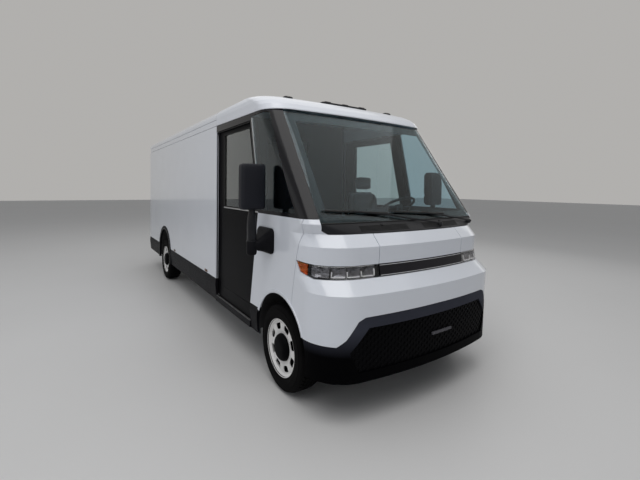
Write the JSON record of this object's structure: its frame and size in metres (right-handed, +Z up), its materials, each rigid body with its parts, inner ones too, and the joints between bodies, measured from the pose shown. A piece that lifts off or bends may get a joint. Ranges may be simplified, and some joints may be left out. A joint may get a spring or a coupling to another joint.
{
  "type": "electric cargo van",
  "caption": "Walk-in electric cargo van with a tall box body, raked windscreen, sliding cab doors, hood, folding mirrors and four wheels, two of them steered.",
  "frame": {"origin": "on the ground, midway along and across the van", "axes": "+X forward, +Y to the van's left, +Z up"},
  "size_m": [7.175, 2.68, 2.74],
  "materials": {
    "gloss_white": "gloss white paint",
    "cap_white": "gloss white paint",
    "gloss_black": "gloss black",
    "black_trim": "moulded black plastic, fine grain",
    "mesh_black": "matt black moulded mesh",
    "lamp_clear": "clear lens",
    "lamp_amber": "amber lens",
    "lamp_red": "red lens",
    "bar_dark": "dark chrome",
    "tinted_glass": "green tint",
    "inner_grey": "grained grey plastic",
    "bare_aluminium": "mill finish",
    "chassis_black": "satin black paint",
    "cast_grey": "cast",
    "wheel_silver": "silver paint",
    "tyre": "road tread",
    "seat_fabric": "woven dark grey",
    "floor_grey": "ribbed floor covering"
  },
  "bodies": {
    "van_body": {"front_panels": "gloss_white", "front_bumper": "black_trim", "bumper_grille": "mesh_black", "headlamps": "lamp_clear", "turn_lamps": "lamp_amber", "light_bar": "bar_dark", "cowl": "black_trim", "cab_frame": "gloss_black", "cab_glass": "tinted_glass", "cab_shell": "inner_grey", "roof_cap": "cap_white", "marker_lamps": "lamp_amber", "roof_panel": "gloss_white", "roof_rails": "gloss_white", "side_panels": "gloss_white", "lower_trim": "black_trim", "arch_trims": "black_trim", "wipers": "black_trim", "wheel_housings": "black_trim", "rear_frame": "gloss_white", "tail_lamps": "lamp_red", "rear_door": "gloss_white", "rear_bumper": "chassis_black", "floor": "floor_grey", "bulkhead": "bare_aluminium", "frame_rails": "chassis_black", "battery_pack": "bare_aluminium", "front_suspension": "cast_grey", "rear_suspension": "cast_grey", "dashboard": "inner_grey", "seats": "seat_fabric", "mirror_brackets": "black_trim"},
    "hood": {"hood": "gloss_white"},
    "steering_wheel": {"steering_wheel": "inner_grey"},
    "sliding_door_left": {"door_left": "gloss_black", "door_glass_left": "tinted_glass"},
    "knuckle_left": {"knuckle_left": "cast_grey"},
    "mirror_left": {"mirror_left": "black_trim"},
    "wheel_front_left": {"tyre_front_left": "tyre", "rim_front_left": "wheel_silver"},
    "wheel_rear_left": {"tyre_rear_left": "tyre", "rim_rear_left": "wheel_silver"},
    "sliding_door_right": {"door_right": "gloss_black", "door_glass_right": "tinted_glass"},
    "knuckle_right": {"knuckle_right": "cast_grey"},
    "mirror_right": {"mirror_right": "black_trim"},
    "wheel_front_right": {"tyre_front_right": "tyre", "rim_front_right": "wheel_silver"},
    "wheel_rear_right": {"tyre_rear_right": "tyre", "rim_rear_right": "wheel_silver"}
  },
  "joints": [
    {"name": "steer_left", "type": "hinge", "parent": "van_body", "child": "knuckle_left", "pos_m": [2.7425, 0.83, 0.376], "axis": [0, 0, 1], "range_deg": [-35, 35]},
    {"name": "steer_right", "type": "hinge", "parent": "van_body", "child": "knuckle_right", "pos_m": [2.7425, -0.83, 0.376], "axis": [0, 0, 1], "range_deg": [-35, 35]},
    {"name": "spin_front_left", "type": "hinge", "parent": "knuckle_left", "child": "wheel_front_left", "pos_m": [2.7425, 0.93, 0.376], "axis": [0, 1, 0], "continuous": true},
    {"name": "spin_rear_left", "type": "hinge", "parent": "van_body", "child": "wheel_rear_left", "pos_m": [-1.9175, 0.93, 0.376], "axis": [0, 1, 0], "continuous": true},
    {"name": "door_slide_left", "type": "slide", "parent": "van_body", "child": "sliding_door_left", "axis": [-1, 0, 0], "range_m": [0, 0.9]},
    {"name": "mirror_fold_left", "type": "hinge", "parent": "van_body", "child": "mirror_left", "pos_m": [2.5425, 1.225, 1.7], "axis": [0, 0, 1], "range_deg": [-75, 75]},
    {"name": "spin_front_right", "type": "hinge", "parent": "knuckle_right", "child": "wheel_front_right", "pos_m": [2.7425, -0.93, 0.376], "axis": [0, 1, 0], "continuous": true},
    {"name": "spin_rear_right", "type": "hinge", "parent": "van_body", "child": "wheel_rear_right", "pos_m": [-1.9175, -0.93, 0.376], "axis": [0, 1, 0], "continuous": true},
    {"name": "door_slide_right", "type": "slide", "parent": "van_body", "child": "sliding_door_right", "axis": [-1, 0, 0], "range_m": [0, 0.9]},
    {"name": "mirror_fold_right", "type": "hinge", "parent": "van_body", "child": "mirror_right", "pos_m": [2.5425, -1.225, 1.7], "axis": [0, 0, 1], "range_deg": [-75, 75]},
    {"name": "steering_wheel_turn", "type": "hinge", "parent": "van_body", "child": "steering_wheel", "pos_m": [2.6425, 0.48, 1.585], "axis": [-0.5, 0, 0.866], "range_deg": [-540, 540]},
    {"name": "hood_open", "type": "hinge", "parent": "van_body", "child": "hood", "pos_m": [3.3825, 0, 1.42], "axis": [0, -1, 0], "range_deg": [0, 60]}
  ],
  "couplings": [
    {"joint": "steer_right", "follows": "steer_left", "ratio": 1},
    {"joint": "steering_wheel_turn", "follows": "steer_left", "ratio": 15.429}
  ]
}
